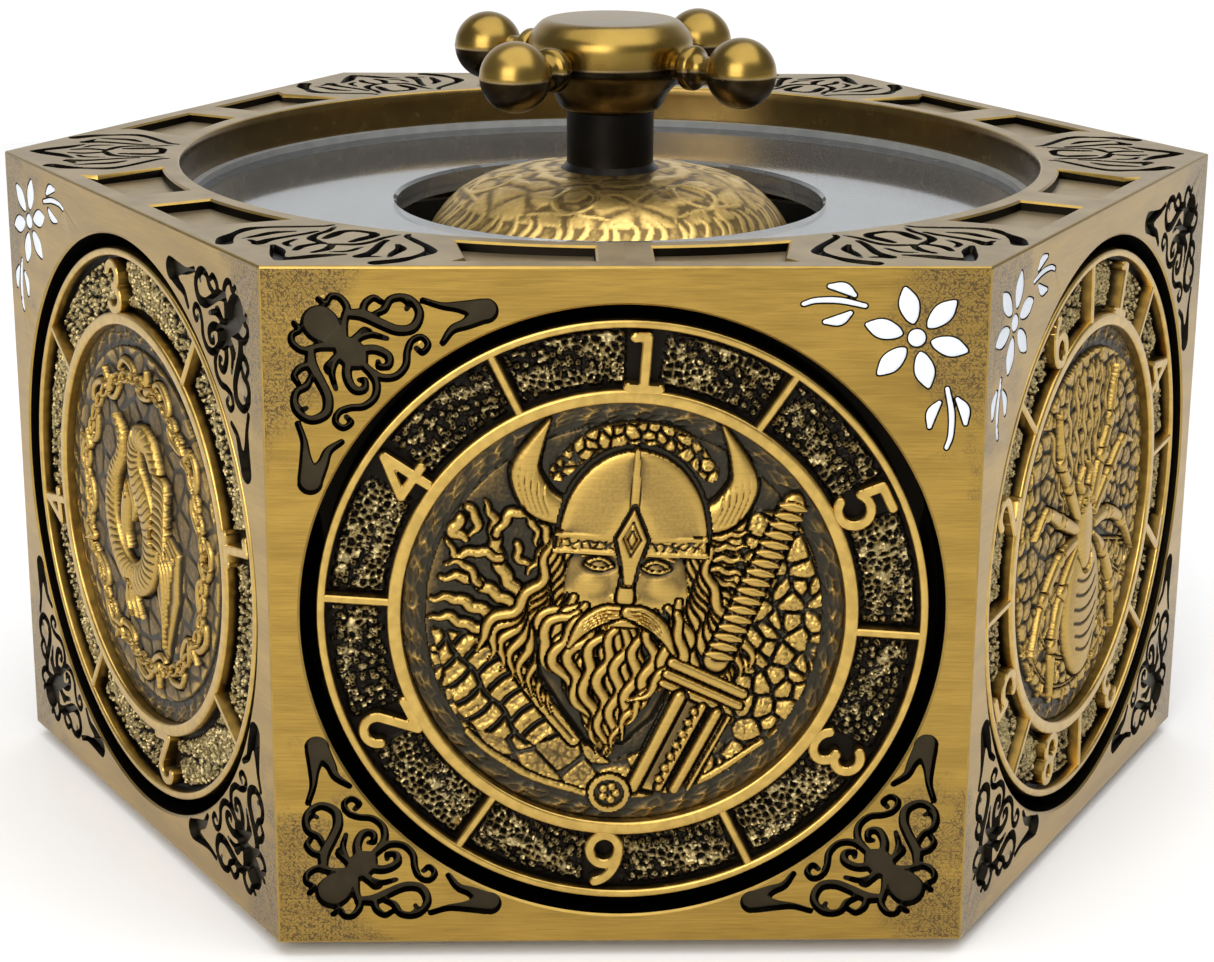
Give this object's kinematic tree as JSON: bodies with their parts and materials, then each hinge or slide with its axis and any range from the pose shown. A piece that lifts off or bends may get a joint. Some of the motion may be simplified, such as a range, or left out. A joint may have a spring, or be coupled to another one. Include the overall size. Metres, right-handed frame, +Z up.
{
  "type": "polyhedral dice spinner",
  "caption": "Hexagonal antique-brass dice spinner: a numbered spinning dial with a relief medallion in each side, and a four-armed turret over a clear-covered bowl on top.",
  "frame": {"origin": "centre line of the hexagon, at the height of the surface under the feet", "axes": "+Z up along the turret's axis, -Y out of the front face, which carries the six-number dial, +X to the right of a viewer in front"},
  "size_m": [0.0798, 0.0692, 0.0503],
  "materials": {
    "antique_brass": "brushed antique brass, black patina left in the recesses",
    "relief_brass": "cast antique brass relief, darkened background, rubbed high points",
    "dome_brass": "cast antique brass, soft satin",
    "turret_brass": "polished antique brass, darkened underside",
    "dark_bronze": "blackened, satin",
    "blackened_metal": "blackened, raised numbers rubbed to brass",
    "white_enamel": "white enamel fill",
    "clear_acrylic": "clear, polished",
    "grey_ring": "satin grey",
    "bearing_steel": "ground bearing steel",
    "cage_brass": "stamped brass",
    "screw_steel": "zinc plated",
    "black_rubber": "matte"
  },
  "bodies": {
    "housing": {"case": "antique_brass", "base_plate": "antique_brass", "base_screws": "screw_steel", "base_feet": "black_rubber", "cover_window": "clear_acrylic", "window_ring": "grey_ring", "dial_screws": "screw_steel", "dial_bearing_inner_races": "bearing_steel", "bearing_outer_spindle": "bearing_steel"},
    "d6_dial": {"dial_d6": "antique_brass", "medallion_d6": "relief_brass", "bearing_outer_d6": "bearing_steel"},
    "d6_ball_cage": {"bearing_balls_d6": "bearing_steel", "bearing_cage_d6": "cage_brass"},
    "d8_dial": {"dial_d8": "antique_brass", "medallion_d8": "relief_brass", "bearing_outer_d8": "bearing_steel"},
    "d8_ball_cage": {"bearing_balls_d8": "bearing_steel", "bearing_cage_d8": "cage_brass"},
    "d10_dial": {"dial_d10": "antique_brass", "medallion_d10": "relief_brass", "bearing_outer_d10": "bearing_steel"},
    "d10_ball_cage": {"bearing_balls_d10": "bearing_steel", "bearing_cage_d10": "cage_brass"},
    "d12_dial": {"dial_d12": "antique_brass", "medallion_d12": "relief_brass", "bearing_outer_d12": "bearing_steel"},
    "d12_ball_cage": {"bearing_balls_d12": "bearing_steel", "bearing_cage_d12": "cage_brass"},
    "d20_dial": {"dial_d20": "antique_brass", "medallion_d20": "relief_brass", "bearing_outer_d20": "bearing_steel"},
    "d20_ball_cage": {"bearing_balls_d20": "bearing_steel", "bearing_cage_d20": "cage_brass"},
    "d4_dial": {"dial_d4": "antique_brass", "medallion_d4": "relief_brass", "bearing_outer_d4": "bearing_steel"},
    "d4_ball_cage": {"bearing_balls_d4": "bearing_steel", "bearing_cage_d4": "cage_brass"},
    "rotor": {"turret": "turret_brass", "spindle": "dark_bronze", "dome_hub": "dome_brass", "number_wheel": "blackened_metal", "spindle_spacer": "screw_steel", "spindle_washer": "screw_steel", "spindle_screw": "screw_steel", "bearing_inner_spindle": "bearing_steel"},
    "rotor_ball_cage": {"bearing_balls_spindle": "bearing_steel", "bearing_cage_spindle": "cage_brass"}
  },
  "joints": [
    {"name": "d6_spin", "type": "hinge", "parent": "housing", "child": "d6_dial", "pos_m": [0, -0.03464, 0.02094], "axis": [0, -1, 0], "continuous": true},
    {"name": "d6_cage_roll", "type": "hinge", "parent": "housing", "child": "d6_ball_cage", "pos_m": [0, -0.03464, 0.02094], "axis": [0, -1, 0], "continuous": true},
    {"name": "d8_spin", "type": "hinge", "parent": "housing", "child": "d8_dial", "pos_m": [0.03, -0.01732, 0.02094], "axis": [0.866, -0.5, 0], "continuous": true},
    {"name": "d8_cage_roll", "type": "hinge", "parent": "housing", "child": "d8_ball_cage", "pos_m": [0.03, -0.01732, 0.02094], "axis": [0.866, -0.5, 0], "continuous": true},
    {"name": "d10_spin", "type": "hinge", "parent": "housing", "child": "d10_dial", "pos_m": [0.03, 0.01732, 0.02094], "axis": [0.866, 0.5, 0], "continuous": true},
    {"name": "d10_cage_roll", "type": "hinge", "parent": "housing", "child": "d10_ball_cage", "pos_m": [0.03, 0.01732, 0.02094], "axis": [0.866, 0.5, 0], "continuous": true},
    {"name": "d12_spin", "type": "hinge", "parent": "housing", "child": "d12_dial", "pos_m": [0, 0.03464, 0.02094], "axis": [0, 1, 0], "continuous": true},
    {"name": "d12_cage_roll", "type": "hinge", "parent": "housing", "child": "d12_ball_cage", "pos_m": [0, 0.03464, 0.02094], "axis": [0, 1, 0], "continuous": true},
    {"name": "d20_spin", "type": "hinge", "parent": "housing", "child": "d20_dial", "pos_m": [-0.03, 0.01732, 0.02094], "axis": [-0.866, 0.5, 0], "continuous": true},
    {"name": "d20_cage_roll", "type": "hinge", "parent": "housing", "child": "d20_ball_cage", "pos_m": [-0.03, 0.01732, 0.02094], "axis": [-0.866, 0.5, 0], "continuous": true},
    {"name": "d4_spin", "type": "hinge", "parent": "housing", "child": "d4_dial", "pos_m": [-0.03, -0.01732, 0.02094], "axis": [-0.866, -0.5, 0], "continuous": true},
    {"name": "d4_cage_roll", "type": "hinge", "parent": "housing", "child": "d4_ball_cage", "pos_m": [-0.03, -0.01732, 0.02094], "axis": [-0.866, -0.5, 0], "continuous": true},
    {"name": "turret_spin", "type": "hinge", "parent": "housing", "child": "rotor", "pos_m": [0, 0, 0.0471], "axis": [0, 0, 1], "continuous": true},
    {"name": "rotor_cage_roll", "type": "hinge", "parent": "housing", "child": "rotor_ball_cage", "pos_m": [0, 0, 0.0274], "axis": [0, 0, 1], "continuous": true}
  ],
  "couplings": [
    {"joint": "d6_cage_roll", "follows": "d6_spin", "ratio": 0.56875},
    {"joint": "d8_cage_roll", "follows": "d8_spin", "ratio": 0.56875},
    {"joint": "d10_cage_roll", "follows": "d10_spin", "ratio": 0.56875},
    {"joint": "d12_cage_roll", "follows": "d12_spin", "ratio": 0.56875},
    {"joint": "d20_cage_roll", "follows": "d20_spin", "ratio": 0.56875},
    {"joint": "d4_cage_roll", "follows": "d4_spin", "ratio": 0.56875},
    {"joint": "rotor_cage_roll", "follows": "turret_spin", "ratio": 0.43125}
  ]
}
